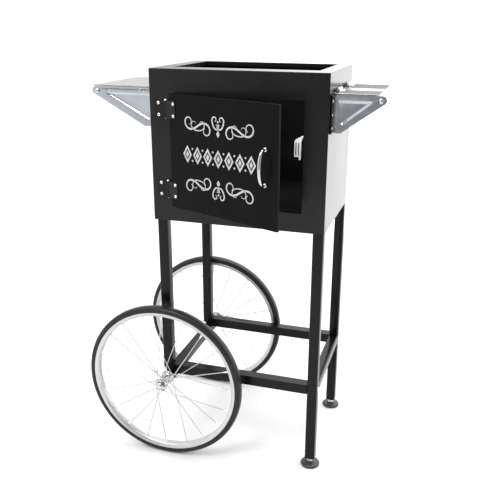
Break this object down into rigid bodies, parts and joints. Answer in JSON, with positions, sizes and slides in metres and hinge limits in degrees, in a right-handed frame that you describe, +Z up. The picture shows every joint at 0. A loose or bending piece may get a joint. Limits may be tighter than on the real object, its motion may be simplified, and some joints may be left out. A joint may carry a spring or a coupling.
{
  "type": "popcorn cart",
  "caption": "Square-tube cart on spoked wheels and levelling feet, carrying an open-topped sheet-steel cabinet with a hinged front door and bracketed side shelves.",
  "frame": {"origin": "on the floor, under the middle of the whole object's box with the door ajar as stored", "axes": "+Z up; -Y is the front, the door's side; +X is the right, the feet's side, seen from the front"},
  "size_m": [0.6126, 0.4506, 0.8424],
  "materials": {
    "cabinet_paint": "semi-gloss black powder coat",
    "door_paint": null,
    "frame_paint": "semi-gloss black powder coat",
    "hinge_black": "satin black",
    "pin_steel": "zinc plated",
    "foot_black": "moulded black",
    "tyre_rubber": "matt black rubber",
    "rim_steel": "bright plated",
    "chrome": "polished",
    "bracket_chrome": "polished",
    "shelf_steel": "polished",
    "catch_plastic": "moulded white"
  },
  "bodies": {
    "cart": {"front_panel": "cabinet_paint", "left_side_panel": "cabinet_paint", "right_side_panel": "cabinet_paint", "back_panel": "cabinet_paint", "cabinet_floor": "cabinet_paint", "top_rim": "cabinet_paint", "front_left_leg": "frame_paint", "rear_left_leg": "frame_paint", "front_right_leg": "frame_paint", "rear_right_leg": "frame_paint", "front_rail": "frame_paint", "rear_rail": "frame_paint", "right_cross_rail": "frame_paint", "axle_beam": "frame_paint", "front_axle_spacer": "frame_paint", "rear_axle_spacer": "frame_paint", "front_axle_bushing": "frame_paint", "rear_axle_bushing": "frame_paint", "front_leg_plug": "frame_paint", "rear_leg_plug": "frame_paint", "left_front_bracket_mount": "frame_paint", "left_rear_bracket_mount": "frame_paint", "right_front_bracket_mount": "frame_paint", "right_rear_bracket_mount": "frame_paint", "upper_hinge_cabinet_leaf": "hinge_black", "lower_hinge_cabinet_leaf": "hinge_black", "upper_hinge_pin": "pin_steel", "lower_hinge_pin": "pin_steel", "axle": "pin_steel", "front_cap_nut": "chrome", "rear_cap_nut": "chrome", "front_axle_washer": "chrome", "rear_axle_washer": "chrome", "left_tip_bolt": "chrome", "right_tip_bolt": "chrome", "left_front_bracket": "bracket_chrome", "left_rear_bracket": "bracket_chrome", "right_front_bracket": "bracket_chrome", "right_rear_bracket": "bracket_chrome", "left_shelf": "shelf_steel", "right_shelf": "shelf_steel", "catch_body": "catch_plastic"},
    "door": {"door_panel": "door_paint", "door_pull": "chrome", "strike_plate": "pin_steel", "upper_hinge_door_leaf": "hinge_black", "lower_hinge_door_leaf": "hinge_black"},
    "front_wheel": {"front_tyre": "tyre_rubber", "front_rim": "rim_steel", "front_spoked_hub": "chrome"},
    "rear_wheel": {"rear_tyre": "tyre_rubber", "rear_rim": "rim_steel", "rear_spoked_hub": "chrome"},
    "front_foot": {"front_foot_pad": "foot_black", "front_foot_stem": "pin_steel"},
    "rear_foot": {"rear_foot_pad": "foot_black", "rear_foot_stem": "pin_steel"}
  },
  "joints": [
    {"name": "door_hinge", "type": "hinge", "parent": "cart", "child": "door", "pos_m": [-0.1116, -0.111, 0.6865], "axis": [0, 0, -1], "range_deg": [-22.75, 112.25]},
    {"name": "front_wheel_spin", "type": "hinge", "parent": "cart", "child": "front_wheel", "pos_m": [-0.1286, -0.1317, 0.1777], "axis": [0, 1, 0], "continuous": true},
    {"name": "rear_wheel_spin", "type": "hinge", "parent": "cart", "child": "rear_wheel", "pos_m": [-0.1286, 0.1952, 0.1777], "axis": [0, 1, 0], "continuous": true},
    {"name": "front_foot_turn", "type": "hinge", "parent": "cart", "child": "front_foot", "pos_m": [0.1937, -0.0852, 0], "axis": [0, 0, 1], "continuous": true},
    {"name": "rear_foot_turn", "type": "hinge", "parent": "cart", "child": "rear_foot", "pos_m": [0.1937, 0.1651, 0], "axis": [0, 0, 1], "continuous": true}
  ]
}
